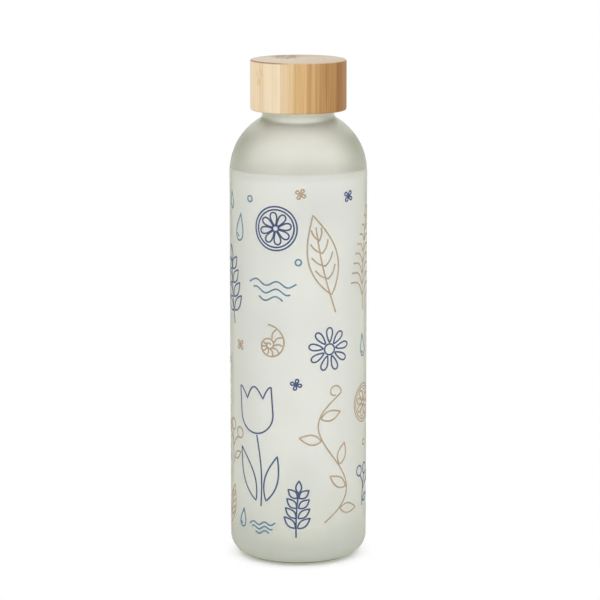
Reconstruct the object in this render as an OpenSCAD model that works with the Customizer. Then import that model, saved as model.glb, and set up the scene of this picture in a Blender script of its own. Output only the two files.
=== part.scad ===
// Frosted glass water bottle with a printed coat and a screw lid of bamboo.
// Millimetres, +Z up. The origin is the middle of the ring that the bottle stands on.

/* [Bottle] */
// Outer diameter of the glass wall
body_d = 60; // [54:0.5:70]
// Height of the straight wall, where the shoulder starts
body_h = 171.2; // [90:0.1:240]
// Radius of the round shoulder
shoulder_r = 26.9; // [24:0.1:30]
// How much thicker than the wall the glass grows towards the neck
shoulder_extra = 1.7; // [0:0.1:3]
// How far below the outer shoulder the inner one starts
shoulder_drop = 0.2; // [0:0.1:3]
// Thickness of the glass wall
wall = 2.2; // [1.6:0.1:3]
// Radius of the heel between wall and foot
heel_r = 9; // [6:0.5:11]
// Thickness of the glass between foot and inner floor
base_t = 10; // [6:0.25:12]
// Width of the ring that the bottle stands on
foot_w = 3; // [2:0.5:5]
// Height of the push-up in the middle of the base
punt_h = 2; // [1:0.25:2.5]
// Length of the neck between shoulder and mouth
neck_h = 3.5; // [2.5:0.1:8]
// Radius of the hollow where the shoulder meets the neck
neck_fillet = 2.25; // [0.5:0.25:3]
// Rounding where the inner shoulder meets the bore of the mouth
bore_round = 4; // [1:0.25:6]

/* [Mouth] */
// Diameter of the neck and over the thread above it
thread_d = 31.4; // [28:0.2:36]
// How far the thread stands out
thread_depth = 1.2; // [0.9:0.1:1.4]
// Rise of the thread in one turn
thread_pitch = 4.2; // [3.8:0.1:4.8]
// Width of the glass thread at its foot
thread_w = 2; // [1.6:0.1:2.2]
// Height of the mouth above the neck
mouth_h = 12; // [11:0.1:16]
// Thickness of the glass at the mouth, behind the thread
mouth_wall = 2.5; // [2.2:0.1:4]
// Rounding of the rim, inside and outside
lip_round = 0.8; // [0.4:0.1:1]

/* [Lid] */
// Thickness of the bamboo above the insert
cap_top_t = 6; // [4:0.5:10]
// Thickness of the bamboo around the insert
cap_wall = 2.7; // [2:0.1:6]
// Rounding of the upper rim of the lid
cap_top_round = 1; // [0.4:0.1:1.8]
// Rounding of the lower rim of the lid
cap_low_round = 0.8; // [0.4:0.1:1.2]
// Thickness of the wall of the insert
liner_wall = 2.15; // [1.6:0.05:3]
// Thickness of the top of the insert
liner_top_t = 2; // [1.4:0.1:3]
// Thickness of the seal
seal_t = 1.6; // [1.2:0.1:2.4]
// How far the lid reaches down over the neck
lid_cover = 0.4; // [0.2:0.1:1]
// How far the insert stays back from the lower face of the lid
liner_inset = 0.6; // [0:0.1:1]

/* [Coat] */
// Thickness of the printed coat
coat_t = 0.1; // [0.05:0.01:0.3]
// Height above the foot where the coat starts, on the heel
coat_low = 1.5; // [0.8:0.1:5]
// How far the coat runs up onto the shoulder
coat_on_shoulder = 1.8; // [0.5:0.1:6]

/* [Clearances] */
// Gap between the two threads, along and across the axis
thread_clear = 0.35; // [0.2:0.05:0.5]
// Gap around the seal in its seat
seal_clear = 0.3; // [0.2:0.05:0.5]
// Gap for glue around the insert
glue_gap = 0.1; // [0.05:0.05:0.3]

/* [Hidden] */
$fn = 96;
// How far joined pieces of a section run into each other, and cuts run past a face
lap = 1;

// Glass
body_r = body_d / 2;
foot_r = body_r - heel_r;
punt_edge_r = foot_r - foot_w;
punt_sphere_r = (punt_edge_r * punt_edge_r + punt_h * punt_h) / (2 * punt_h);
inner_heel_r = heel_r - wall;
neck_r = thread_d / 2;
shoulder_x = body_r - shoulder_r;
inner_r = body_r - wall;
inner_shoulder_r = shoulder_r - wall - shoulder_extra;
inner_shoulder_x = inner_r - inner_shoulder_r;
inner_shoulder_z = body_h - shoulder_drop;
shoulder_top = body_h + sqrt(pow(shoulder_r, 2) - pow(neck_r - shoulder_x, 2));

// Mouth
mouth_z = shoulder_top + neck_h;
rim_z = mouth_z + mouth_h;
root_r = neck_r - thread_depth;
bore_r = root_r - mouth_wall;
mouth_slope = 0.8;
thread_foot = 3.4;
thread_head = 2.3;
thread_z = mouth_z + thread_foot;
thread_sweep = 360 * (mouth_h - thread_foot - thread_head) / thread_pitch;

// Lid, stacked on the rim of the mouth
liner_in_r = neck_r + thread_clear;
liner_out_r = liner_in_r + liner_wall;
recess_r = liner_out_r + glue_gap;
cap_r = recess_r + cap_wall;
seat_z = rim_z + seal_t;
recess_z = seat_z + liner_top_t;
cap_top_z = recess_z + cap_top_t;
cap_low_z = mouth_z - lid_cover;
liner_low_z = cap_low_z + liner_inset;
liner_lead = 0.6;
boss_inset = 1.3;
boss_r = bore_r - boss_inset;
boss_short = 0.2;
seal_in_r = boss_r + seal_clear;
seal_out_r = liner_in_r - seal_clear;

// Threads
ridge_step = 10;
ridge_sides = 6;
ridge_sink = 0.5;
ridge_fade = 40;
liner_thread_w = thread_pitch - thread_w - 2 * thread_clear;
liner_thread_start = 60;
liner_thread_short = 90;
liner_thread_sweep = thread_sweep - liner_thread_short;

// Half section of a disc from z0 to z1 with rounded rims
module round_disc_half(r, z0, z1, low, high) {
    translate([0, z0])
        square([r - low, z1 - z0]);
    translate([0, z0])
        square([r - high, z1 - z0]);
    translate([0, z0 + low])
        square([r, z1 - z0 - low - high]);
    translate([r - low, z0 + low])
        circle(low);
    translate([r - high, z1 - high])
        circle(high);
}

// Half section of a ring from radius a to b and height z0 to z1
module ring_half(a, b, z0, z1) {
    translate([a, z0])
        square([b - a, z1 - z0]);
}

// Half section of a wall of radius r from z0 to z1, with a round shoulder on top
module wall_half(r, z0, z1, round_r) {
    ring_half(0, r, z0, z1);
    intersection() {
        translate([r - round_r, z1])
            circle(round_r);
        ring_half(0, r, z1 - lap, z1 + round_r + lap);
    }
}

// Half section of heel, wall and shoulder, made larger by grow
module outside_half(grow) {
    ring_half(0, foot_r, 0, heel_r + lap);
    translate([foot_r, heel_r])
        circle(heel_r + grow);
    wall_half(body_r + grow, heel_r, body_h, shoulder_r + grow);
}

// Rounding of radius q from a shoulder of radius r about (x, z) into an upright of radius up_r
module rounding_half(x, z, r, up_r, q) {
    mid_x = up_r + q;
    mid_z = z + sqrt(pow(r + q, 2) - pow(mid_x - x, 2));
    share = r / (r + q);
    end_x = x + (mid_x - x) * share;
    end_z = z + (mid_z - z) * share;
    difference() {
        polygon([
            [0, end_z],
            [end_x, end_z],
            [mid_x, mid_z],
            [0, mid_z]
        ]);
        translate([mid_x, mid_z])
            circle(q);
    }
}

// Half section of the neck and the mouth without its thread
module mouth_half() {
    polygon([
        [0, body_h],
        [neck_r, body_h],
        [neck_r, mouth_z],
        [root_r, mouth_z + mouth_slope],
        [root_r, rim_z - lip_round],
        [0, rim_z - lip_round]
    ]);
    translate([root_r - lip_round, rim_z - lip_round])
        circle(lip_round);
    ring_half(bore_r + lip_round, root_r - lip_round, rim_z - 2 * lip_round, rim_z);
    translate([bore_r + lip_round, rim_z - lip_round])
        circle(lip_round);
}

// Half section of the inside, up through the mouth
module cavity_half() {
    low_z = base_t + inner_heel_r;
    ring_half(0, foot_r, base_t, low_z + lap);
    translate([foot_r, low_z])
        circle(inner_heel_r);
    wall_half(inner_r, low_z, inner_shoulder_z, inner_shoulder_r);
    rounding_half(inner_shoulder_x, inner_shoulder_z, inner_shoulder_r, bore_r, bore_round);
    ring_half(0, bore_r, inner_shoulder_z, rim_z);
}

// One thread: a half-ellipse carried along a right-hand helix and sunk away at both ends.
// side is 1 for a thread that stands outwards and -1 for one that stands inwards.
module ridge(base_r, side, width, start, sweep) {
    steps = ceil(sweep / ridge_step);
    ring = ridge_sides + 1;
    points = [
        for (i = [0:steps])
            let (along = sweep * i / steps)
            let (turn = start + along)
            let (full = min(1, along / ridge_fade, (sweep - along) / ridge_fade))
            let (high = thread_depth * full + ridge_sink * (1 + full) / 2)
            for (k = [0:ridge_sides])
                let (t = 180 * k / ridge_sides)
                let (r = base_r - side * ridge_sink + side * high * sin(t))
                [
                    r * cos(turn),
                    r * sin(turn),
                    thread_pitch * turn / 360 + side * width / 2 * cos(t)
                ]
    ];
    sides = [
        for (i = [0:steps - 1])
            for (k = [0:ridge_sides])
                let (next = (k + 1) % ring)
                let (a = i * ring + k)
                let (b = i * ring + next)
                let (c = a + ring)
                let (d = b + ring)
                each [[a, c, b], [b, c, d]]
    ];
    first = [for (k = [0:ridge_sides]) k];
    last = [for (k = [ridge_sides:-1:0]) steps * ring + k];
    polyhedron(points = points, faces = concat(sides, [first], [last]), convexity = 8);
}

module glass_bottle() {
    color([0.82, 0.87, 0.80]) {
        rotate_extrude()
            difference() {
                union() {
                    outside_half(0);
                    rounding_half(shoulder_x, body_h, shoulder_r, neck_r, neck_fillet);
                    mouth_half();
                }
                cavity_half();
                intersection() {
                    translate([0, punt_h - punt_sphere_r])
                        circle(punt_sphere_r);
                    ring_half(0, body_r, -lap, base_t);
                }
            }
        translate([0, 0, thread_z])
            ridge(root_r, 1, thread_w, 0, thread_sweep);
    }
}

module printed_coat() {
    color([0.88, 0.90, 0.87])
        rotate_extrude()
            intersection() {
                difference() {
                    outside_half(coat_t);
                    outside_half(0);
                }
                ring_half(foot_r + lap, body_d, coat_low, body_h + coat_on_shoulder);
            }
}

module bamboo_cap() {
    color([0.80, 0.65, 0.44])
        rotate_extrude()
            difference() {
                round_disc_half(cap_r, cap_low_z, cap_top_z, cap_low_round, cap_top_round);
                ring_half(0, recess_r, cap_low_z - lap, recess_z);
            }
}

module lid_liner() {
    color([0.93, 0.93, 0.91]) {
        rotate_extrude()
            difference() {
                ring_half(0, liner_out_r, liner_low_z, recess_z);
                difference() {
                    ring_half(0, liner_in_r, liner_low_z - lap, seat_z);
                    ring_half(0, boss_r, rim_z + boss_short, seat_z + lap);
                }
                polygon([
                    [0, liner_low_z - lap],
                    [liner_in_r + liner_lead, liner_low_z - lap],
                    [liner_in_r + liner_lead, liner_low_z],
                    [liner_in_r, liner_low_z + liner_lead],
                    [0, liner_low_z + liner_lead]
                ]);
            }
        translate([0, 0, thread_z - thread_pitch / 2])
            ridge(liner_in_r, -1, liner_thread_w, liner_thread_start, liner_thread_sweep);
    }
}

module seal_ring() {
    color([0.90, 0.90, 0.88])
        rotate_extrude()
            ring_half(seal_in_r, seal_out_r, rim_z, seat_z);
}

glass_bottle();
printed_coat();
bamboo_cap();
lid_liner();
seal_ring();
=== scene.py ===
"""Looks of a frosted glass water bottle with a printed coat and a bamboo screw lid."""

import bpy
import numpy as np
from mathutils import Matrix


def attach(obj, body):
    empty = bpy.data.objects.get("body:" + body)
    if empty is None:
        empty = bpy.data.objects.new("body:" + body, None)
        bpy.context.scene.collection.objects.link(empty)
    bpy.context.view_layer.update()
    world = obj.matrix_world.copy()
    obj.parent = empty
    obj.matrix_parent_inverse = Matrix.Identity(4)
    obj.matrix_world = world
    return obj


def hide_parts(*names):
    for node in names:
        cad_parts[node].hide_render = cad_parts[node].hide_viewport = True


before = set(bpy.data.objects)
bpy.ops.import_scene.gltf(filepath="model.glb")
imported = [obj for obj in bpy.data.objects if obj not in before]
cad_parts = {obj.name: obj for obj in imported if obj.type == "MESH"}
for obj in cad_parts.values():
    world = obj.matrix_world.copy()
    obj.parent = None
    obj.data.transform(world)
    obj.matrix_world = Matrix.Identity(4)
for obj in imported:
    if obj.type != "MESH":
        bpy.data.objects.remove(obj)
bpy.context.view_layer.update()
scene = bpy.context.scene

# Sizes in millimetres, the same as those of the solids
BODY_R = 30.0
BODY_H = 171.2
SHOULDER_R = 26.9
WALL = 2.2
HEEL_R = 9.0
BASE_T = 10.0
FOOT_W = 3.0
PUNT_H = 2.0
NECK_R = 15.7
NECK_H = 3.5
NECK_FILLET = 2.25
NECK_EDGE = 0.3
INNER_SHOULDER_R = 23.0
INNER_DROP = 0.2
BORE_ROUND = 4.0
THREAD_DEPTH = 1.2
THREAD_PITCH = 4.2
THREAD_W = 2.0
THREAD_START = 3.4
THREAD_STOP = 2.3
ROOT_RISE = 0.8
MOUTH_H = 12.0
MOUTH_WALL = 2.5
LIP_ROUND = 0.8
CAP_R = 21.0
CAP_TOP_T = 6.0
CAP_GAP = 0.4
RECESS_R = 18.3
LINER_IN_R = 16.05
LINER_OUT_R = 18.2
LINER_TOP_T = 2.0
LINER_STEP = 0.6
BOSS_CLEAR = 1.3
SEAL_T = 1.6
THREAD_CLEAR = 0.35
RIDGE_SINK = 0.5
RIDGE_FADE = 40.0
COAT_LOW = 1.5
COAT_HIGH = 173.0
COAT_R = 30.07
INK_R = 30.1
INK_LOW_R = 30.05
INK_W = 0.7
MM = 0.001
# Points round each turned piece, and the angle in degrees past which an edge stays sharp
SEGMENTS = 192
CREASE = 40.0

FOOT_R = BODY_R - HEEL_R
SHOULDER_X = BODY_R - SHOULDER_R
SHOULDER_TOP = BODY_H + np.sqrt(SHOULDER_R ** 2 - (NECK_R - SHOULDER_X) ** 2)
MOUTH_Z = SHOULDER_TOP + NECK_H
RIM_Z = MOUTH_Z + MOUTH_H
ROOT_R = NECK_R - THREAD_DEPTH
BORE_R = ROOT_R - MOUTH_WALL
THREAD_Z = MOUTH_Z + THREAD_START
THREAD_SWEEP = 360.0 * (MOUTH_H - THREAD_START - THREAD_STOP) / THREAD_PITCH
SEAT_Z = RIM_Z + SEAL_T
RECESS_Z = SEAT_Z + LINER_TOP_T
CAP_TOP_Z = RECESS_Z + CAP_TOP_T
CAP_LOW_Z = MOUTH_Z - CAP_GAP
LINER_LOW_Z = CAP_LOW_Z + LINER_STEP
BOSS_R = BORE_R - BOSS_CLEAR
INNER_SHOULDER_X = BODY_R - WALL - INNER_SHOULDER_R
INNER_SHOULDER_Z = BODY_H - INNER_DROP


# Shapes

def arc(x, z, radius, start, end, count):
    """Points of a circle: (x, z) plus radius times (cosine, sine), between two angles in degrees."""
    a = np.radians(np.linspace(start, end, count))
    return np.column_stack((x + radius * np.cos(a), z + radius * np.sin(a)))


def line(x0, z0, x1, z1, count):
    """Evenly spaced points from (x0, z0) to (x1, z1)."""
    return np.linspace((x0, z0), (x1, z1), count)


def chain(*runs):
    """One outline from runs laid end to end, without the points that repeat the one before them."""
    points = np.vstack(runs)
    step = np.linalg.norm(np.diff(points, axis=0), axis=1)
    return points[np.r_[True, step > 1e-5]]


def turned(profile, closed=False, relief=None):
    """A turned surface: a point (r, z) of the profile, at angle a, lies at (r cos a, r sin a, z).

    What relief(a, r, z) gives is added to r. A profile that starts or ends on the axis has a single
    point there, and a closed one joins its ends."""
    first = profile[0, 0] < 1e-6
    last = profile[-1, 0] < 1e-6
    rows = profile[int(first):len(profile) - int(last)]
    a = np.linspace(0.0, 2.0 * np.pi, SEGMENTS, endpoint=False)[None, :]
    r = np.repeat(rows[:, :1], SEGMENTS, axis=1)
    z = np.repeat(rows[:, 1:], SEGMENTS, axis=1)
    if relief is not None:
        r = r + relief(a, r, z)
    grid = np.stack((r * np.cos(a), r * np.sin(a), z), axis=-1).reshape(-1, 3)
    index = np.arange(len(grid)).reshape(len(rows), SEGMENTS)
    beside = np.roll(index, -1, axis=1)
    if closed:
        above = np.roll(index, -1, axis=0)
        beside_above = np.roll(beside, -1, axis=0)
        quads = np.stack((index, beside, beside_above, above), axis=-1)
    else:
        quads = np.stack((index[:-1], beside[:-1], beside[1:], index[1:]), axis=-1)
    faces = quads.reshape(-1, 4).tolist()
    points = [grid]
    count = len(grid)
    if first:
        points.append([[0.0, 0.0, profile[0, 1]]])
        faces += np.column_stack((np.full(SEGMENTS, count), beside[0], index[0])).tolist()
        count += 1
    if last:
        points.append([[0.0, 0.0, profile[-1, 1]]])
        faces += np.column_stack((index[-1], beside[-1], np.full(SEGMENTS, count))).tolist()
    return np.vstack(points), faces


def thread(base_r, side, width, low_z, start, sweep):
    """Relief of a thread: a half-ellipse across a helix, which rises one pitch a turn and fades at both ends.

    It only touches points that lie on the wall of radius base_r."""
    def relief(a, r, z):
        out = np.zeros_like(r)
        for lap in range(int(np.ceil((start + sweep) / 360.0))):
            turn = np.degrees(a) + 360.0 * lap
            along = turn - start
            full = np.clip(np.minimum(along, sweep - along) / RIDGE_FADE, 0.0, 1.0)
            high = THREAD_DEPTH * full + RIDGE_SINK * (1.0 + full) / 2.0
            across = (z - low_z - THREAD_PITCH * turn / 360.0) / (width / 2.0)
            bump = high * np.sqrt(np.clip(1.0 - across ** 2, 0.0, 1.0)) - RIDGE_SINK
            bump = np.where((along >= 0.0) & (along <= sweep), bump, 0.0)
            out = np.maximum(out, bump)
        return side * np.where(np.abs(r - base_r) < 1e-3, out, 0.0)
    return relief


def hollow(x, z, radius, upright, bend):
    """Where a round of radius bend has its centre, between an upright and a shoulder about (x, z).

    That centre is bend from the upright and radius + bend from (x, z); its angle from there comes with it."""
    mid_x = upright + bend
    mid_z = z + np.sqrt((radius + bend) ** 2 - (mid_x - x) ** 2)
    return mid_x, mid_z, np.degrees(np.arctan2(mid_z - z, mid_x - x))


def bottle_profile():
    """Half section of the glass from under the base, up the outside, over the rim and down the inside."""
    punt_edge = FOOT_R - FOOT_W
    punt_r = (punt_edge ** 2 + PUNT_H ** 2) / (2.0 * PUNT_H)
    punt_turn = np.degrees(np.arcsin(punt_edge / punt_r))
    neck_x, neck_z, lean = hollow(SHOULDER_X, BODY_H, SHOULDER_R, NECK_R, NECK_FILLET)
    bore_x, bore_z, inner_lean = hollow(INNER_SHOULDER_X, INNER_SHOULDER_Z, INNER_SHOULDER_R,
                                        BORE_R, BORE_ROUND)
    inner_heel = HEEL_R - WALL
    lip_z = RIM_Z - LIP_ROUND
    return chain(
        arc(0.0, PUNT_H - punt_r, punt_r, 90.0, 90.0 - punt_turn, 14),
        line(punt_edge, 0.0, FOOT_R, 0.0, 5),
        arc(FOOT_R, HEEL_R, HEEL_R, -90.0, 0.0, 24),
        line(BODY_R, HEEL_R, BODY_R, BODY_H, 28),
        arc(SHOULDER_X, BODY_H, SHOULDER_R, 0.0, lean, 48),
        arc(neck_x, neck_z, NECK_FILLET, lean + 180.0, 180.0, 12),
        line(NECK_R, neck_z, NECK_R, MOUTH_Z - NECK_EDGE, 4),
        arc(NECK_R - NECK_EDGE, MOUTH_Z - NECK_EDGE, NECK_EDGE, 0.0, 56.0, 4),
        line(ROOT_R, MOUTH_Z + ROOT_RISE, ROOT_R, lip_z, 84),
        arc(ROOT_R - LIP_ROUND, lip_z, LIP_ROUND, 0.0, 90.0, 8),
        arc(BORE_R + LIP_ROUND, lip_z, LIP_ROUND, 90.0, 180.0, 8),
        line(BORE_R, lip_z, BORE_R, bore_z, 6),
        arc(bore_x, bore_z, BORE_ROUND, 180.0, 180.0 + inner_lean, 14),
        arc(INNER_SHOULDER_X, INNER_SHOULDER_Z, INNER_SHOULDER_R, inner_lean, 0.0, 48),
        line(BODY_R - WALL, INNER_SHOULDER_Z, BODY_R - WALL, BASE_T + inner_heel, 20),
        arc(FOOT_R, BASE_T + inner_heel, inner_heel, 0.0, -90.0, 16),
        line(FOOT_R, BASE_T, 0.0, BASE_T, 8),
    )


def coat_profile():
    """Closed half section of the coat: a thin skin on the heel, the wall and the start of the shoulder."""
    skin = 0.02
    heel_out = COAT_R - FOOT_R
    heel_in = HEEL_R + skin
    low_out = np.degrees(np.arcsin((COAT_LOW - HEEL_R) / heel_out))
    low_in = np.degrees(np.arcsin((COAT_LOW - HEEL_R) / heel_in))
    top_out = np.degrees(np.arcsin((COAT_HIGH - BODY_H) / (COAT_R - SHOULDER_X)))
    top_in = np.degrees(np.arcsin((COAT_HIGH - BODY_H) / (SHOULDER_R + skin)))
    return chain(
        arc(FOOT_R, HEEL_R, heel_out, low_out, 0.0, 16),
        line(COAT_R, HEEL_R, COAT_R, BODY_H, 24),
        arc(SHOULDER_X, BODY_H, COAT_R - SHOULDER_X, 0.0, top_out, 8),
        arc(SHOULDER_X, BODY_H, SHOULDER_R + skin, top_in, 0.0, 8),
        line(BODY_R + skin, BODY_H, BODY_R + skin, HEEL_R, 24),
        arc(FOOT_R, HEEL_R, heel_in, 0.0, low_in, 16),
    )


def cap_profile():
    """Half section of the lid shell from the recess, round the lower rim, up the side and over the top."""
    top_round = 1.0
    low_round = 0.8
    recess_round = 0.3
    return chain(
        line(0.0, RECESS_Z, RECESS_R, RECESS_Z, 6),
        line(RECESS_R, RECESS_Z, RECESS_R, CAP_LOW_Z + recess_round, 8),
        arc(RECESS_R + recess_round, CAP_LOW_Z + recess_round, recess_round, 180.0, 270.0, 4),
        arc(CAP_R - low_round, CAP_LOW_Z + low_round, low_round, -90.0, 0.0, 8),
        line(CAP_R, CAP_LOW_Z + low_round, CAP_R, CAP_TOP_Z - top_round, 24),
        arc(CAP_R - top_round, CAP_TOP_Z - top_round, top_round, 0.0, 90.0, 10),
        line(CAP_R - top_round, CAP_TOP_Z, 0.0, CAP_TOP_Z, 14),
    )


def liner_profile():
    """Half section of the insert: boss inside, seat, down the threaded wall and up the outside."""
    lead = 0.6
    boss_lift = 0.2
    boss_round = 0.2
    boss_z = RIM_Z + boss_lift
    return chain(
        line(0.0, boss_z, BOSS_R - boss_round, boss_z, 4),
        arc(BOSS_R - boss_round, boss_z + boss_round, boss_round, -90.0, 0.0, 4),
        line(BOSS_R, boss_z + boss_round, BOSS_R, SEAT_Z, 3),
        line(BOSS_R, SEAT_Z, LINER_IN_R, SEAT_Z, 3),
        line(LINER_IN_R, SEAT_Z, LINER_IN_R, LINER_LOW_Z + lead, 110),
        line(LINER_IN_R + lead, LINER_LOW_Z, LINER_OUT_R, LINER_LOW_Z, 3),
        line(LINER_OUT_R, LINER_LOW_Z, LINER_OUT_R, RECESS_Z, 8),
        line(LINER_OUT_R, RECESS_Z, 0.0, RECESS_Z, 4),
    )


def mark(obj, name, values):
    """A value for each point of a piece, kept as a named attribute."""
    layer = obj.data.attributes.new(name, "FLOAT", "POINT")
    layer.data.foreach_set("value", np.asarray(values, dtype=np.float32))


def piece(name, points, faces, material, body, slot):
    """A mesh object from points in millimetres, smooth except at its sharp edges, riding on a body."""
    mesh = bpy.data.meshes.new(name)
    mesh.from_pydata((np.asarray(points) * MM).tolist(), [], faces)
    mesh.polygons.foreach_set("use_smooth", np.ones(len(mesh.polygons), dtype=bool))
    mesh.set_sharp_from_angle(angle=np.radians(CREASE))
    mesh.materials.append(material)
    mesh.update()
    obj = bpy.data.objects.new(name, mesh)
    scene.collection.objects.link(obj)
    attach(obj, body)
    return obj


# Print: line drawings as strokes of (points, closed), in each motif's own units on the unrolled wall

def ring(x, y, radius, count=48):
    """A circle round (x, y)."""
    a = np.linspace(0.0, 2.0 * np.pi, count, endpoint=False)
    return np.column_stack((x + radius * np.cos(a), y + radius * np.sin(a))), True


def dash(x0, y0, x1, y1, bow=0.0, count=12):
    """A line between two points that bows sideways like half a sine wave."""
    s = np.linspace(0.0, 1.0, count)
    dx, dy = x1 - x0, y1 - y0
    side = bow * np.sin(np.pi * s)
    return np.column_stack((x0 + dx * s - dy * side, y0 + dy * s + dx * side)), False


def blade(x, y, turn, length, width):
    """A pointed leaf from (x, y) along turn degrees: its half width is a sine of the way along."""
    s = np.linspace(0.0, 1.0, 28)
    half = width / 2.0 * np.sin(np.pi * s ** 0.85)
    along = np.r_[s, s[-2:0:-1]] * length
    across = np.r_[half, -half[-2:0:-1]]
    c, n = np.cos(np.radians(turn)), np.sin(np.radians(turn))
    return np.column_stack((x + along * c - across * n, y + along * n + across * c)), True


def petal(turn, near, far, width, count=40):
    """A petal pointed at the middle: it runs from near to far as a cosine and widens on the way out."""
    t = np.linspace(0.0, 2.0 * np.pi, count, endpoint=False)
    out = (1.0 - np.cos(t)) / 2.0
    along = near + (far - near) * out
    across = width / 2.0 * np.sin(t) * (0.35 + 0.65 * out)
    c, n = np.cos(np.radians(turn)), np.sin(np.radians(turn))
    return np.column_stack((along * c - across * n, along * n + across * c)), True


def veined_leaf():
    """A leaf with a middle rib and slanting veins."""
    rise = np.linspace(0.2, 0.68, 4)
    reach = 0.34 * 0.5 * np.sin(np.pi * (rise + 0.14) ** 0.85) * 0.8
    veins = [dash(0.0, y, side * x, y + 0.14, -0.1 * side, 8)
             for y, x in zip(rise, reach) for side in (-1, 1)]
    return [blade(0.0, 0.0, 90.0, 1.0, 0.38), dash(0.0, -0.22, 0.0, 0.84, 0.03)] + veins


def sprig():
    """A stem with leaves in pairs and one at its tip."""
    rise = np.linspace(0.16, 0.7, 4)
    leaves = [blade(side * 0.02, y, 90.0 - side * 48.0, 0.3 - 0.12 * y, 0.12)
              for y in rise for side in (-1, 1)]
    return [dash(0.0, 0.0, 0.0, 0.78, 0.02, 16), blade(0.0, 0.79, 90.0, 0.22, 0.1)] + leaves


def fern():
    """A bowed stem with fine side shoots that get shorter towards the tip."""
    stem = dash(0.0, 0.0, 0.12, 1.0, 0.08, 40)[0]
    strokes = [(stem, False)]
    for i in range(5, 38, 4):
        size = 0.24 * (1.0 - i / 46.0)
        x, y = stem[i]
        strokes.append(dash(x - 0.015, y + 0.01, x - size, y + size * 0.62, -0.22))
        strokes.append(dash(x + 0.015, y + 0.01, x + size, y + size * 0.52, 0.22))
    return strokes


def citrus():
    """A slice of citrus: peel, pith and eight segments."""
    segments = [petal(45.0 * k, 0.13, 0.74, 0.42) for k in range(8)]
    return [ring(0.0, 0.0, 1.0, 72), ring(0.0, 0.0, 0.86, 64)] + segments


def drop():
    """A drop of water with a glint inside."""
    t = np.linspace(0.0, 2.0 * np.pi, 48, endpoint=False)
    outline = np.column_stack((0.62 * np.sin(t) * np.sin(t / 2.0) ** 1.5, np.cos(t)))
    a = np.radians(np.linspace(200.0, 262.0, 10))
    glint = np.column_stack((0.27 * np.cos(a), -0.42 + 0.3 * np.sin(a)))
    return [(outline, True), (glint, False)]


def ripples():
    """Three lines of water, each a sine wave, shorter towards the bottom."""
    strokes = []
    for k, reach in enumerate((1.0, 0.78, 0.5)):
        x = np.linspace(-reach, reach, 60)
        strokes.append((np.column_stack((x, 0.1 * np.sin(2.2 * np.pi * x) - 0.3 * k)), False))
    return strokes


def tulip():
    """A cup with three tips on a stem, between two long leaves."""
    a = np.linspace(np.pi, 2.0 * np.pi, 24)
    x = np.linspace(0.2, -0.2, 41)
    cup = np.vstack((np.column_stack((0.2 * np.cos(a), 0.68 + 0.2 * np.sin(a))),
                     np.column_stack((x, 0.83 + 0.12 * np.abs(np.cos(np.pi * x / 0.2))))))
    return [(cup, True), dash(0.0, 0.46, 0.0, -0.25, 0.04, 16),
            blade(-0.06, -0.2, 107.0, 0.56, 0.15), blade(0.06, -0.2, 71.0, 0.48, 0.14)]


def daisy():
    """Nine petals round a ring."""
    return [ring(0.0, 0.0, 0.25, 32)] + [petal(40.0 * k + 10.0, 0.33, 1.0, 0.4) for k in range(9)]


def shell():
    """A snail shell: a spiral whose radius grows by the same factor each turn, with ribs in its last turn."""
    start, growth = 0.075, 0.187
    a = np.linspace(0.0, 4.4 * np.pi, 120)
    r = start * np.exp(growth * a)
    strokes = [(np.column_stack((r * np.cos(a), r * np.sin(a))), False)]
    for turn in np.linspace(2.75, 4.25, 9) * np.pi:
        low, high = start * np.exp(growth * np.array((turn - 2.0 * np.pi, turn)))
        low, high = low + 0.12 * (high - low), high - 0.12 * (high - low)
        c, n = np.cos(turn), np.sin(turn)
        strokes.append(dash(low * c, low * n, high * c, high * n, 0.16, 8))
    return strokes


def berries():
    """Three berries on a forked twig with a leaf."""
    twigs = [dash(0.0, -0.9, 0.0, 0.3, 0.05, 16), dash(-0.01, -0.25, -0.42, 0.22, -0.1),
             dash(0.02, -0.25, 0.44, 0.1, 0.1)]
    fruit = [ring(-0.53, 0.4, 0.2, 32), ring(0.0, 0.52, 0.21, 32), ring(0.56, 0.27, 0.2, 32)]
    return twigs + fruit + [blade(0.05, -0.72, 28.0, 0.58, 0.24)]


def vine():
    """A long S-shaped tendril with leaves on alternate sides and a curl at its end."""
    s = np.linspace(0.0, 1.0, 90)
    stem = np.column_stack((0.16 * np.sin(2.0 * np.pi * s), s))
    a = np.linspace(0.0, 1.6 * np.pi, 40)
    r = 0.06 * np.exp(-0.16 * a)
    curl = np.column_stack((-0.06 + r * np.cos(a), 1.0 + r * np.sin(a)))
    strokes = [(np.vstack((stem, curl[1:])), False)]
    for k, i in enumerate((10, 25, 40, 55, 70)):
        side = 1 - 2 * (k % 2)
        slope = np.degrees(np.arctan2(stem[i + 1, 1] - stem[i, 1], stem[i + 1, 0] - stem[i, 0]))
        strokes.append(blade(stem[i, 0] + side * 0.012, stem[i, 1], slope - side * 52.0, 0.17, 0.075))
    return strokes


def blossom():
    """Four round petals."""
    return [petal(90.0 * k + 45.0, 0.16, 1.0, 0.72, 28) for k in range(4)]


def bubble():
    """A small ring."""
    return [ring(0.0, 0.0, 1.0, 32)]


def placed(strokes, u, v, turn, size):
    """Strokes in millimetres on the unrolled wall: scaled, turned and moved to (u, v)."""
    c, n = np.cos(np.radians(turn)), np.sin(np.radians(turn))
    spin = size * np.array(((c, n), (-n, c)))
    return [(points @ spin + (u, v), closed) for points, closed in strokes]


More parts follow.
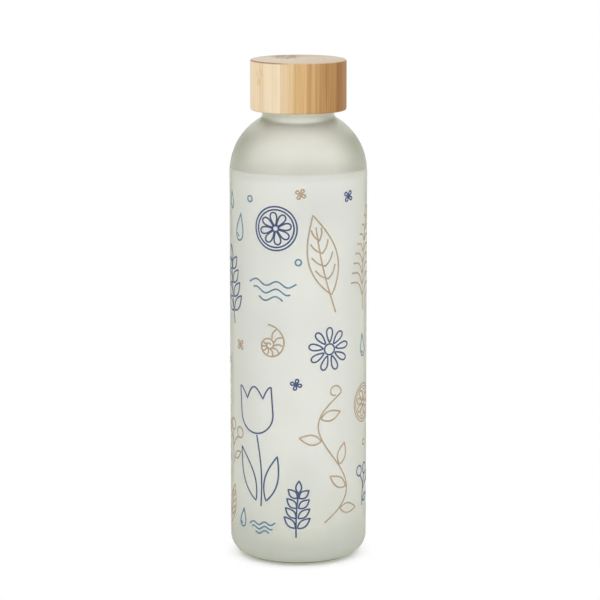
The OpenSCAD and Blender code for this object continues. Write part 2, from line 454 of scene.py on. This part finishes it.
# Motif, place along the wall and height in millimetres, turn in degrees, millimetres to a unit
TAN_PRINT = (
    (veined_leaf, 15.0, 121.0, 14.0, 36.0),
    (fern, 36.0, 112.0, -3.0, 46.0),
    (shell, -13.0, 99.0, 20.0, 9.0),
    (vine, 12.0, 20.0, -8.0, 58.0),
    (citrus, 37.0, 70.0, 30.0, 8.5),
    (berries, -37.0, 54.0, 4.0, 12.0),
    (veined_leaf, -41.0, 15.0, -16.0, 19.0),
    (blossom, -30.0, 97.0, 0.0, 2.4),
    (blossom, 1.0, 165.0, 15.0, 2.3),
    (bubble, 38.0, 52.0, 0.0, 1.3),
)
NAVY_PRINT = (
    (citrus, -10.0, 150.0, 10.0, 9.5),
    (sprig, -35.0, 106.0, 8.0, 34.0),
    (daisy, 14.0, 97.0, 0.0, 9.5),
    (tulip, -18.0, 38.0, 4.0, 44.0),
    (berries, 38.0, 34.0, -12.0, 11.5),
    (sprig, -1.0, 14.0, -3.0, 25.0),
    (blossom, 24.0, 163.0, 10.0, 2.5),
    (blossom, -1.0, 82.0, 30.0, 2.4),
    (bubble, -44.0, 88.0, 0.0, 1.4),
)
TEAL_PRINT = (
    (drop, -30.0, 149.0, -8.0, 6.0),
    (drop, -38.0, 160.0, 6.0, 3.8),
    (drop, 36.0, 96.0, 8.0, 5.0),
    (drop, -28.0, 20.0, -8.0, 4.2),
    (ripples, -12.0, 126.0, -4.0, 11.0),
    (ripples, -17.0, 19.0, 3.0, 6.5),
    (bubble, -23.0, 162.0, 0.0, 1.3),
    (bubble, 0.0, 135.5, 0.0, 1.3),
)


def ribbon(points, closed):
    """A strip of ink along a stroke: a flat bar half sunk into the coat, with round ends if it is open.

    The point (u, v) of the unrolled wall lies at angle u / COAT_R from the front and at height v."""
    if closed:
        along = np.roll(points, -1, axis=0) - np.roll(points, 1, axis=0)
    else:
        along = np.gradient(points, axis=0)
    along = along / np.linalg.norm(along, axis=1, keepdims=True)
    half = np.full(len(points), INK_W / 2.0)
    if not closed:
        bend = np.radians((78.0, 52.0, 26.0))
        reach = INK_W / 2.0 * np.sin(bend)[:, None]
        narrow = INK_W / 2.0 * np.cos(bend)
        points = np.vstack((points[0] - along[0] * reach, points, points[-1] + along[-1] * reach[::-1]))
        along = np.vstack((np.repeat(along[:1], 3, axis=0), along, np.repeat(along[-1:], 3, axis=0)))
        half = np.r_[narrow, half, narrow[::-1]]
    across = np.column_stack((-along[:, 1], along[:, 0])) * half[:, None]
    flat = np.stack((points + across, points - across, points - across, points + across), axis=1)
    radius = np.array((INK_R, INK_R, INK_LOW_R, INK_LOW_R))[None, :]
    a = flat[..., 0] / COAT_R
    grid = np.stack((radius * np.sin(a), -radius * np.cos(a), flat[..., 1]), axis=-1).reshape(-1, 3)
    index = np.arange(len(grid)).reshape(len(points), 4)
    beside = np.roll(index, -1, axis=1)
    if closed:
        quads = np.stack((index, beside, np.roll(beside, -1, axis=0), np.roll(index, -1, axis=0)), axis=-1)
        return grid, quads.reshape(-1, 4)
    quads = np.stack((index[:-1], beside[:-1], beside[1:], index[1:]), axis=-1).reshape(-1, 4)
    return grid, np.vstack((quads, index[:1, ::-1], index[-1:]))


def printed(rows):
    """Points and faces of all motifs of one ink, printed twice round the wall."""
    points = []
    faces = []
    count = 0
    for motif, u, v, turn, size in rows:
        for side in (0.0, np.pi * COAT_R):
            for stroke, closed in placed(motif(), u + side, v, turn, size):
                grid, quads = ribbon(stroke, closed)
                points.append(grid)
                faces.append(quads + count)
                count += len(grid)
    return np.vstack(points), np.vstack(faces).tolist()


# Materials

def shader(tree, kind, values=None, **settings):
    """One shader node: settings are its properties; values are its inputs, set or linked from a socket."""
    made = tree.nodes.new(kind)
    for key, value in settings.items():
        setattr(made, key, value)
    for key, value in (values or {}).items():
        if isinstance(value, bpy.types.NodeSocket):
            tree.links.new(value, made.inputs[key])
        else:
            made.inputs[key].default_value = value
    return made


def blank(name):
    """A material with an output and a Principled BSDF, its node tree and that BSDF."""
    material = bpy.data.materials.new(name)
    material.use_nodes = True
    tree = material.node_tree
    tree.nodes.clear()
    surface = shader(tree, "ShaderNodeBsdfPrincipled")
    shader(tree, "ShaderNodeOutputMaterial", {"Surface": surface.outputs["BSDF"]})
    return material, tree, surface


def rgb(r, g, b):
    """A colour given in screen values from 0 to 255, as linear light with full alpha."""
    s = np.array((r, g, b)) / 255.0
    linear = np.where(s <= 0.04045, s / 12.92, ((s + 0.055) / 1.055) ** 2.4)
    return (*linear.tolist(), 1.0)


def math(tree, operation, a, b):
    """One sum, product or other operation on two values."""
    return shader(tree, "ShaderNodeMath", {0: a, 1: b}, operation=operation).outputs[0]


def product(tree, first, *others):
    """Two or more values multiplied."""
    for other in others:
        first = math(tree, "MULTIPLY", first, other)
    return first


def spread(tree, value, low, high, to_low=0.0, to_high=1.0):
    """A value carried smoothly from one range to another and held at its ends."""
    limits = {"Value": value, "From Min": low, "From Max": high, "To Min": to_low, "To Max": to_high}
    return shader(tree, "ShaderNodeMapRange", limits, interpolation_type="SMOOTHSTEP").outputs[0]


def located(tree):
    """The place on a piece in metres, and its X, Y and Z by name."""
    place = shader(tree, "ShaderNodeTexCoord").outputs["Object"]
    return place, shader(tree, "ShaderNodeSeparateXYZ", {0: place}).outputs


def stretched(tree, place, factors):
    """A place with each of its coordinates multiplied by a factor."""
    return shader(tree, "ShaderNodeVectorMath", {0: place, 1: factors}, operation="MULTIPLY").outputs[0]


def distance(tree, place):
    """How far a place is from the origin."""
    return shader(tree, "ShaderNodeVectorMath", {0: place}, operation="LENGTH").outputs["Value"]


def ramp(tree, value, stops, interpolation):
    """A colour ramp with its stops as (position, colour)."""
    made = shader(tree, "ShaderNodeValToRGB", {"Fac": value})
    made.color_ramp.interpolation = interpolation
    made.color_ramp.elements.remove(made.color_ramp.elements[1])
    made.color_ramp.elements[0].position = stops[0][0]
    made.color_ramp.elements[0].color = stops[0][1]
    for position, colour in stops[1:]:
        made.color_ramp.elements.new(position).color = colour
    return made.outputs[0]


def blended(tree, share, first, second):
    """A mix of two colours."""
    return shader(tree, "ShaderNodeMix", {0: share, 6: first, 7: second}, data_type="RGBA").outputs[2]


def grain_group():
    """The shared node group: clouds and fine specks of noise from 0 to 1, by their waves in a metre."""
    tree = bpy.data.node_groups.new("fine_grain", "ShaderNodeTree")
    details = {"Cloud": 3.0, "Speck": 1.0}
    for name in details:
        tree.interface.new_socket(name + " Waves", in_out="INPUT", socket_type="NodeSocketFloat")
        tree.interface.new_socket(name, in_out="OUTPUT", socket_type="NodeSocketFloat")
    given = shader(tree, "NodeGroupInput")
    place = shader(tree, "ShaderNodeTexCoord").outputs["Object"]
    made = {}
    for name, detail in details.items():
        values = {"Vector": place, "Scale": given.outputs[name + " Waves"], "Detail": detail}
        noise = shader(tree, "ShaderNodeTexNoise", values).outputs[0]
        made[name] = spread(tree, noise, 0.3, 0.7)
    shader(tree, "NodeGroupOutput", made)
    return tree


GRAIN = grain_group()


def grained(tree, clouds, specks):
    """The clouds and specks of the shared group, at so many waves in a metre."""
    made = shader(tree, "ShaderNodeGroup", node_tree=GRAIN)
    made.inputs["Cloud Waves"].default_value = clouds
    made.inputs["Speck Waves"].default_value = specks
    return made.outputs["Cloud"], made.outputs["Speck"]


def roughened(tree, surface, height, strength):
    """Fine relief on a surface, up to a tenth of a millimetre times strength."""
    relief = shader(tree, "ShaderNodeBump", {"Strength": strength, "Distance": 0.0001, "Height": height})
    tree.links.new(relief.outputs[0], surface.inputs["Normal"])


def slanted(tree, low, high):
    """How far a surface turns away from the eye, as a smooth share between two limits."""
    facing = shader(tree, "ShaderNodeLayerWeight", {"Blend": 0.5}).outputs["Facing"]
    return spread(tree, facing, low, high)


GLASS_FACE = (1.0, 0.99, 0.965, 1.0)
GLASS_CLOUD = (0.98, 0.97, 0.945, 1.0)
# Painted shade at the slanted edges of the shoulder
GLASS_EDGE_SHADE = (0.45, 0.48, 0.355, 1.0)
# Painted shade near the foot, partly also the green of the thick glass at the heel
GLASS_HEEL_SHADE = (0.46, 0.49, 0.35, 1.0)
GLASS_DEPTH = (0.62, 0.66, 0.26, 1.0)
COAT_FACE = (0.992, 1.0, 0.99, 1.0)
COAT_CLOUD = (0.978, 0.986, 0.972, 1.0)
COAT_TOP = (0.92, 0.93, 0.912, 1.0)
# Colour of the coat at a slant: a faint painted shade at its edges
COAT_EDGE_SHADE = (0.985, 0.99, 0.92, 1.0)
# Heights in metres between which a tint, a painted shade or a dull finish comes or goes, and the heel's
# distance from the axis at which its painted shade comes in
SHOULDER_FROM = (0.168, 0.184)
SHOULDER_TO = (0.186, 0.193)
HEEL_SHADE = (0.01, 0.028)
HEEL_DULL = (0.016, 0.03)
HEEL_SHADE_REACH = (0.0205, 0.0235)
COAT_FADE = (0.1692, 0.1713)


def frosted_glass():
    """Faintly green glass whose etched skin scatters what passes through it, duller inside.

    The skin of the shoulder is painted darker where it turns away from the eye, a painted shade; the heel is
    duller and greener, and painted darker towards the foot, partly the thick green glass and partly painted
    shade from the floor beneath."""
    material, tree, surface = blank("frosted_glass")
    cloud, speck = grained(tree, 60.0, 3000.0)
    place, axes = located(tree)
    height = axes["Z"]
    inside = shader(tree, "ShaderNodeAttribute", attribute_name="inside").outputs["Fac"]
    outside = math(tree, "SUBTRACT", 1.0, inside)
    face = blended(tree, product(tree, cloud, 0.5), GLASS_FACE, GLASS_CLOUD)
    away = distance(tree, stretched(tree, place, (1.0, 1.0, 0.0)))
    # Painted shade near the foot: the heel turns darker and greener, partly the thick glass
    heel = product(tree, spread(tree, height, *HEEL_SHADE, 1.0, 0.0), outside, spread(tree, away, *HEEL_SHADE_REACH))
    face = blended(tree, heel, face, GLASS_HEEL_SHADE)
    shoulder = product(tree, spread(tree, height, *SHOULDER_FROM, 0.3, 1.0),
                       spread(tree, height, *SHOULDER_TO, 1.0, 0.0), outside)
    # Painted shade: the shoulder's skin turns darker where it turns away from the eye
    edge = product(tree, slanted(tree, 0.15, 0.65), shoulder)
    tree.links.new(blended(tree, edge, face, GLASS_EDGE_SHADE), surface.inputs["Base Color"])
    etched = math(tree, "ADD", spread(tree, speck, 0.0, 1.0, 0.33, 0.37),
                  spread(tree, height, *HEEL_DULL, 0.45, 0.0))
    rough = shader(tree, "ShaderNodeMix", {0: inside, 2: etched, 3: 0.38}).outputs[0]
    tree.links.new(rough, surface.inputs["Roughness"])
    surface.inputs["IOR"].default_value = 1.5
    surface.inputs["Transmission Weight"].default_value = 1.0
    roughened(tree, surface, product(tree, speck, outside), 0.06)
    depth = shader(tree, "ShaderNodeVolumeAbsorption", {"Color": GLASS_DEPTH, "Density": 30.0})
    tree.links.new(depth.outputs[0], tree.nodes["Material Output"].inputs["Volume"])
    return material


def print_coat():
    """Milky lacquer: mostly see-through white with a matte face, a little thinner along its upper edge, and
    painted a little darker where it turns away from the eye as painted shade.
    """
    material, tree, surface = blank("print_coat")
    cloud, speck = grained(tree, 45.0, 2200.0)
    height = located(tree)[1]["Z"]
    face = blended(tree, product(tree, cloud, 0.5), COAT_FACE, COAT_CLOUD)
    face = blended(tree, spread(tree, height, *COAT_FADE), face, COAT_TOP)
    # Painted shade: the coat turns slightly darker and yellower where it turns away from the eye
    tree.links.new(blended(tree, slanted(tree, 0.3, 0.85), face, COAT_EDGE_SHADE), surface.inputs["Base Color"])
    tree.links.new(spread(tree, speck, 0.0, 1.0, 0.84, 0.94), surface.inputs["Roughness"])
    surface.inputs["IOR"].default_value = 1.05
    surface.inputs["Transmission Weight"].default_value = 0.76
    roughened(tree, surface, speck, 0.08)
    return material


def matte(name, colour, second, rough, clouds, specks, strength):
    """Ink, plastic or silicone: a colour clouded with a second one, a range of roughness and fine relief."""
    material, tree, surface = blank(name)
    cloud, speck = grained(tree, clouds, specks)
    tree.links.new(blended(tree, cloud, colour, second), surface.inputs["Base Color"])
    tree.links.new(spread(tree, speck, 0.0, 1.0, *rough), surface.inputs["Roughness"])
    roughened(tree, surface, speck, strength)
    return material


# Strips of the lid from left to right: where each ends in millimetres from the middle, and how dark it is;
# they grow darker to the right partly in the bamboo's own tone and partly as painted light and shade from the
# left
STRIP_TONES_AND_SHADE = ((-15.2, 0.12), (-7.8, 0.03), (-1.8, 0.27), (3.6, 0.48),
          (7.6, 0.63), (10.6, 0.74), (16.4, 0.84), (21.0, 1.0))
# Layers behind one another, from the front: where each ends, and how much of the tone it keeps
LAYERS = ((-3.0, 1.0), (3.5, 0.8), (9.0, 0.5), (14.5, 0.68), (21.0, 0.42))
# Half the width of a glue seam, as a share of the lid's width
SEAM_HALF = 0.006
# Waves in a metre along x, y and z of the fibres, the flecks at the knot and the streaks in the heart
FINE_FIBRE = (1300.0, 1300.0, 22.0)
COARSE_FIBRE = (420.0, 420.0, 9.0)
KNOT_FLECKS = (900.0, 900.0, 260.0)
HEART_STREAKS = (520.0, 60.0, 0.0)
# Centre and reach in millimetres of the knot at the side, of a darker area on top and of the painted shade
# along the back of the top
KNOT = ((-16.9, -12.4, 213.5), (2.6, 6.0, 5.0))
HEART = ((-5.5, 13.0, 220.0), (8.5, 17.0, 0.0))
BACK_SHADE_PATCH = ((-3.0, 22.0, 220.0), (34.0, 18.0, 0.0))
# The side's colours run from pale to dark; the pale and dark ends also carry painted light on the left and
# painted shade on the right
PALE_BAMBOO = rgb(232, 213, 182)
HONEY_BAMBOO = rgb(206, 169, 116)
DARK_BAMBOO = rgb(146, 100, 50)
CUT_BAMBOO = rgb(212, 197, 175)
BURNT_BAMBOO = rgb(140, 108, 72)
# Painted shade at the back of the top
BACK_SHADE_COLOUR = rgb(160, 143, 122)
FLECK_BAMBOO = rgb(214, 164, 84)
BLACK = (0.0, 0.0, 0.0, 1.0)
WHITE = (1.0, 1.0, 1.0, 1.0)


def patch(tree, place, centre, reach):
    """A soft oval mask round a centre, both in millimetres; it runs on for ever along an axis of reach 0."""
    values = {0: place, 1: [c * MM for c in centre]}
    away = shader(tree, "ShaderNodeVectorMath", values, operation="SUBTRACT").outputs[0]
    away = distance(tree, stretched(tree, away, [1.0 / (MM * r) if r else 0.0 for r in reach]))
    return spread(tree, away, 0.4, 1.0, 1.0, 0.0)


def grain(tree, place, waves):
    """Noise drawn out along an axis, from its numbers of waves in a metre along x, y and z."""
    values = {"Vector": stretched(tree, place, waves), "Scale": 1.0}
    return shader(tree, "ShaderNodeTexNoise", values).outputs[0]


def stepped(tree, place, table):
    """The value of the strip at a place, the place as a share of the lid's width, and where strips start."""
    limits = {"Value": place, "From Min": -MM * CAP_R, "From Max": MM * CAP_R}
    share = shader(tree, "ShaderNodeMapRange", limits).outputs[0]
    starts = [0.0] + [(end + CAP_R) / (2.0 * CAP_R) for end, tone in table[:-1]]
    stops = [(start, (tone, tone, tone, 1.0)) for start, (end, tone) in zip(starts, table)]
    return ramp(tree, share, stops, "CONSTANT"), share, starts


def bamboo():
    """Laminated bamboo: upright strips of different tone, darker to the right partly as painted shade, with
    fibres that show as dots on top.
    """
    material, tree, surface = blank("bamboo")
    place, axes = located(tree)
    x, y, z = axes["X"], axes["Y"], axes["Z"]
    # Strip tones darken to the right, partly the bamboo's own tone and partly painted light and shade from
    # the left
    tone, across, starts = stepped(tree, x, STRIP_TONES_AND_SHADE)
    tone = product(tree, tone, stepped(tree, y, LAYERS)[0])
    seams = [(0.0, BLACK)]
    for start in starts[1:]:
        seams += [(start - SEAM_HALF, BLACK), (start, WHITE), (start + SEAM_HALF, BLACK)]
    seam = ramp(tree, across, seams, "LINEAR")
    fine = grain(tree, place, FINE_FIBRE)
    coarse = grain(tree, place, COARSE_FIBRE)
    fibre = math(tree, "ADD", product(tree, fine, 0.55), product(tree, coarse, 0.45))
    tone = math(tree, "ADD", tone, product(tree, math(tree, "SUBTRACT", fibre, 0.5), 0.8))
    side = ramp(tree, tone, ((0.0, PALE_BAMBOO), (0.45, HONEY_BAMBOO), (1.0, DARK_BAMBOO)), "LINEAR")
    side = blended(tree, product(tree, seam, coarse, 0.4), side, BURNT_BAMBOO)
    fleck = spread(tree, grain(tree, place, KNOT_FLECKS), 0.45, 0.62)
    side = blended(tree, product(tree, patch(tree, place, *KNOT), fleck, 0.55), side, FLECK_BAMBOO)
    dots = shader(tree, "ShaderNodeTexVoronoi", {"Vector": place, "Scale": 1500.0}, voronoi_dimensions="2D")
    dots = spread(tree, dots.outputs["Distance"], 0.12, 0.42, 0.24, 0.0)
    streaks = spread(tree, grain(tree, place, HEART_STREAKS), 0.3, 0.7, 0.2, 0.9)
    heart = product(tree, patch(tree, place, *HEART), streaks)
    cut = blended(tree, product(tree, coarse, 0.35), CUT_BAMBOO, side)
    cut = blended(tree, math(tree, "MAXIMUM", dots, heart), cut, BURNT_BAMBOO)
    # Painted shade along the back of the top
    cut = blended(tree, product(tree, patch(tree, place, *BACK_SHADE_PATCH), 0.4), cut, BACK_SHADE_COLOUR)
    # The pale cut colour of the top also runs down the rounding of its edge, a painted highlight there
    ends = math(tree, "MAXIMUM", spread(tree, z, MM * (CAP_TOP_Z - 0.6), MM * (CAP_TOP_Z - 0.2)),
                spread(tree, z, MM * (CAP_LOW_Z + 0.05), MM * (CAP_LOW_Z + 0.3), 1.0, 0.0))
    colour = blended(tree, ends, side, cut)
    # A darker line round the rounding of the top edge, strongest at the left
    rim = product(tree, spread(tree, z, MM * (CAP_TOP_Z - 0.8), MM * (CAP_TOP_Z - 0.4)),
                  spread(tree, z, MM * (CAP_TOP_Z - 0.15), MM * CAP_TOP_Z, 1.0, 0.0),
                  spread(tree, x, -0.011, -0.002, 0.8, 0.08))
    tree.links.new(blended(tree, rim, colour, BURNT_BAMBOO), surface.inputs["Base Color"])
    tree.links.new(spread(tree, fibre, 0.2, 0.55, 0.62, 0.42), surface.inputs["Roughness"])
    surface.inputs["Specular IOR Level"].default_value = 0.2
    roughened(tree, surface, fine, 0.25)
    return material


INK_ROUGH = (0.45, 0.6)
GLASS = frosted_glass()
COAT = print_coat()
TAN = matte("tan_ink", rgb(162, 142, 116), rgb(176, 157, 131), INK_ROUGH, 300.0, 4000.0, 0.1)
NAVY = matte("navy_ink", rgb(48, 66, 108), rgb(60, 78, 120), INK_ROUGH, 300.0, 4000.0, 0.1)
TEAL = matte("teal_ink", rgb(80, 116, 142), rgb(94, 130, 155), INK_ROUGH, 300.0, 4000.0, 0.1)
BAMBOO = bamboo()
PLASTIC = matte("polypropylene", rgb(238, 238, 233), rgb(232, 232, 226), (0.34, 0.44), 90.0, 2400.0, 0.12)
SILICONE = matte("silicone", rgb(228, 228, 223), rgb(221, 221, 215), (0.5, 0.6), 120.0, 1800.0, 0.15)


# Pieces

inside_w = THREAD_PITCH - THREAD_W - 2.0 * THREAD_CLEAR
outside_thread = thread(ROOT_R, 1.0, THREAD_W, THREAD_Z, 0.0, THREAD_SWEEP)
inside_thread = thread(LINER_IN_R, -1.0, inside_w, THREAD_Z - THREAD_PITCH / 2.0, 60.0, THREAD_SWEEP - 90.0)

section = bottle_profile()
bottle = piece("bottle_glass", *turned(section, relief=outside_thread), GLASS, "bottle", "frosted_glass")
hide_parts("glass_bottle")
# The inside starts past the top of the rim; the last two points are those on the axis, under and in the base
rim_row = int(np.argmax(section[:, 1] > RIM_Z - 1e-6))
inner_rows = np.arange(1, len(section) - 1) > rim_row
mark(bottle, "inside", np.r_[np.repeat(inner_rows, SEGMENTS), False, True])
coat = piece("bottle_coat", *turned(coat_profile(), closed=True), COAT, "bottle", "print_coat")
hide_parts("printed_coat")
piece("print_tan", *printed(TAN_PRINT), TAN, "bottle", "print_coat")
piece("print_navy", *printed(NAVY_PRINT), NAVY, "bottle", "print_coat")
piece("print_teal", *printed(TEAL_PRINT), TEAL, "bottle", "print_coat")
lid_shell = piece("lid_shell", *turned(cap_profile()), BAMBOO, "lid", "bamboo")
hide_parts("bamboo_cap")
insert = piece("lid_insert", *turned(liner_profile(), relief=inside_thread), PLASTIC, "lid", "polypropylene")
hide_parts("lid_liner")
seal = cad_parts["seal_ring"]
seal.data.materials.clear()
seal.data.materials.append(SILICONE)


# Stage, in metres

FLOOR_HALF = 12.0
# Just under the foot ring, so that the two faces don't coincide
FLOOR_Z = -0.0001
# Where the shadow that the camera sees fades out, and how white the floor stays under it
SHADOW = (0.023, 0.035)
SHADOW_WHITE = 0.22
# How bright the ceiling looks in glass and gloss, and between which slopes of a ray it dims to that
CEILING_LEVEL = 0.9
CEILING_FROM = 0.15
CEILING_TO = 0.75
LIT_POINT = (0.0, 0.0, 0.12)
CAMERA_PLACE = (0.00072, -1.190, 0.3315)
CAMERA_DROP = 10.37
CAMERA_LENS = 164.7


def rays(tree):
    """Whether a ray comes from the camera, and whether it comes by glass or gloss."""
    path = shader(tree, "ShaderNodeLightPath").outputs
    return path["Is Camera Ray"], math(tree, "MAXIMUM", path["Is Glossy Ray"], path["Is Transmission Ray"])


def floor():
    """A plain white floor that shows as white, keeps part of the shadow and is clear when seen from below."""
    material, tree, surface = blank("floor")
    surface.inputs["Base Color"].default_value = WHITE
    surface.inputs["Roughness"].default_value = 0.9
    surface.inputs["Specular IOR Level"].default_value = 0.0
    direct, through = rays(tree)
    away = distance(tree, shader(tree, "ShaderNodeTexCoord").outputs["Object"])
    lit = product(tree, direct, spread(tree, away, *SHADOW, SHADOW_WHITE, 1.0))
    share = math(tree, "MAXIMUM", through, lit)
    white = shader(tree, "ShaderNodeEmission", {"Color": WHITE, "Strength": 1.0})
    mix = shader(tree, "ShaderNodeMixShader", {0: share, 1: surface.outputs[0], 2: white.outputs[0]})
    below = product(tree, shader(tree, "ShaderNodeNewGeometry").outputs["Backfacing"], direct)
    clear = shader(tree, "ShaderNodeBsdfTransparent")
    mix = shader(tree, "ShaderNodeMixShader", {0: below, 1: mix.outputs[0], 2: clear.outputs[0]})
    tree.links.new(mix.outputs[0], tree.nodes["Material Output"].inputs["Surface"])
    corners = [(x * FLOOR_HALF, y * FLOOR_HALF, FLOOR_Z) for x, y in ((-1, -1), (1, -1), (1, 1), (-1, 1))]
    mesh = bpy.data.meshes.new("floor")
    mesh.from_pydata(corners, [], [(0, 1, 2, 3)])
    mesh.materials.append(material)
    obj = bpy.data.objects.new("floor", mesh)
    scene.collection.objects.link(obj)


def surroundings():
    """A world that gives a plain even light, and shows white with a dimmer ceiling in glass and gloss."""
    world = bpy.data.worlds.new("studio")
    scene.world = world
    world.use_nodes = True
    tree = world.node_tree
    tree.nodes.clear()
    through = rays(tree)[1]
    place = shader(tree, "ShaderNodeTexCoord").outputs["Generated"]
    rise = shader(tree, "ShaderNodeSeparateXYZ", {0: place}).outputs["Z"]
    limits = {"Value": rise, "From Min": CEILING_FROM, "From Max": CEILING_TO,
              "To Min": 1.0, "To Max": CEILING_LEVEL}
    above = shader(tree, "ShaderNodeMapRange", limits).outputs[0]
    level = shader(tree, "ShaderNodeMix", {0: through, 2: 1.0, 3: above}).outputs[0]
    white = shader(tree, "ShaderNodeBackground", {"Color": WHITE, "Strength": level})
    shader(tree, "ShaderNodeOutputWorld", {"Surface": white.outputs[0]})


def lamp(name, place, size, power):
    """A soft square lamp that faces the middle of the bottle."""
    data = bpy.data.lights.new(name, "AREA")
    data.energy = power
    data.size = size
    obj = bpy.data.objects.new(name, data)
    obj.location = place
    side = np.array(place) - np.array(LIT_POINT)
    turn = np.arctan2(side[0], -side[1])
    tilt = np.arctan2(np.hypot(side[0], side[1]), side[2])
    obj.rotation_euler = (tilt, 0.0, turn)
    scene.collection.objects.link(obj)


def camera():
    """The camera of the photograph: level sideways, tilted down a little, with a long lens."""
    data = bpy.data.cameras.new("camera")
    data.sensor_width = 36.0
    data.lens = CAMERA_LENS
    data.clip_start = 0.01
    obj = bpy.data.objects.new("camera", data)
    obj.location = CAMERA_PLACE
    obj.rotation_euler = (np.radians(90.0 - CAMERA_DROP), 0.0, 0.0)
    scene.collection.objects.link(obj)
    scene.camera = obj


floor()
surroundings()
lamp("key_light", place=(-0.5, -1.3, 0.9), size=0.5, power=1.6)
lamp("fill_light", place=(1.2, -0.7, 0.7), size=0.8, power=2.4)
camera()
scene.view_settings.view_transform = "Standard"
scene.cycles.max_bounces = 32
scene.cycles.glossy_bounces = 16
scene.cycles.transmission_bounces = 32
scene.cycles.diffuse_bounces = 8
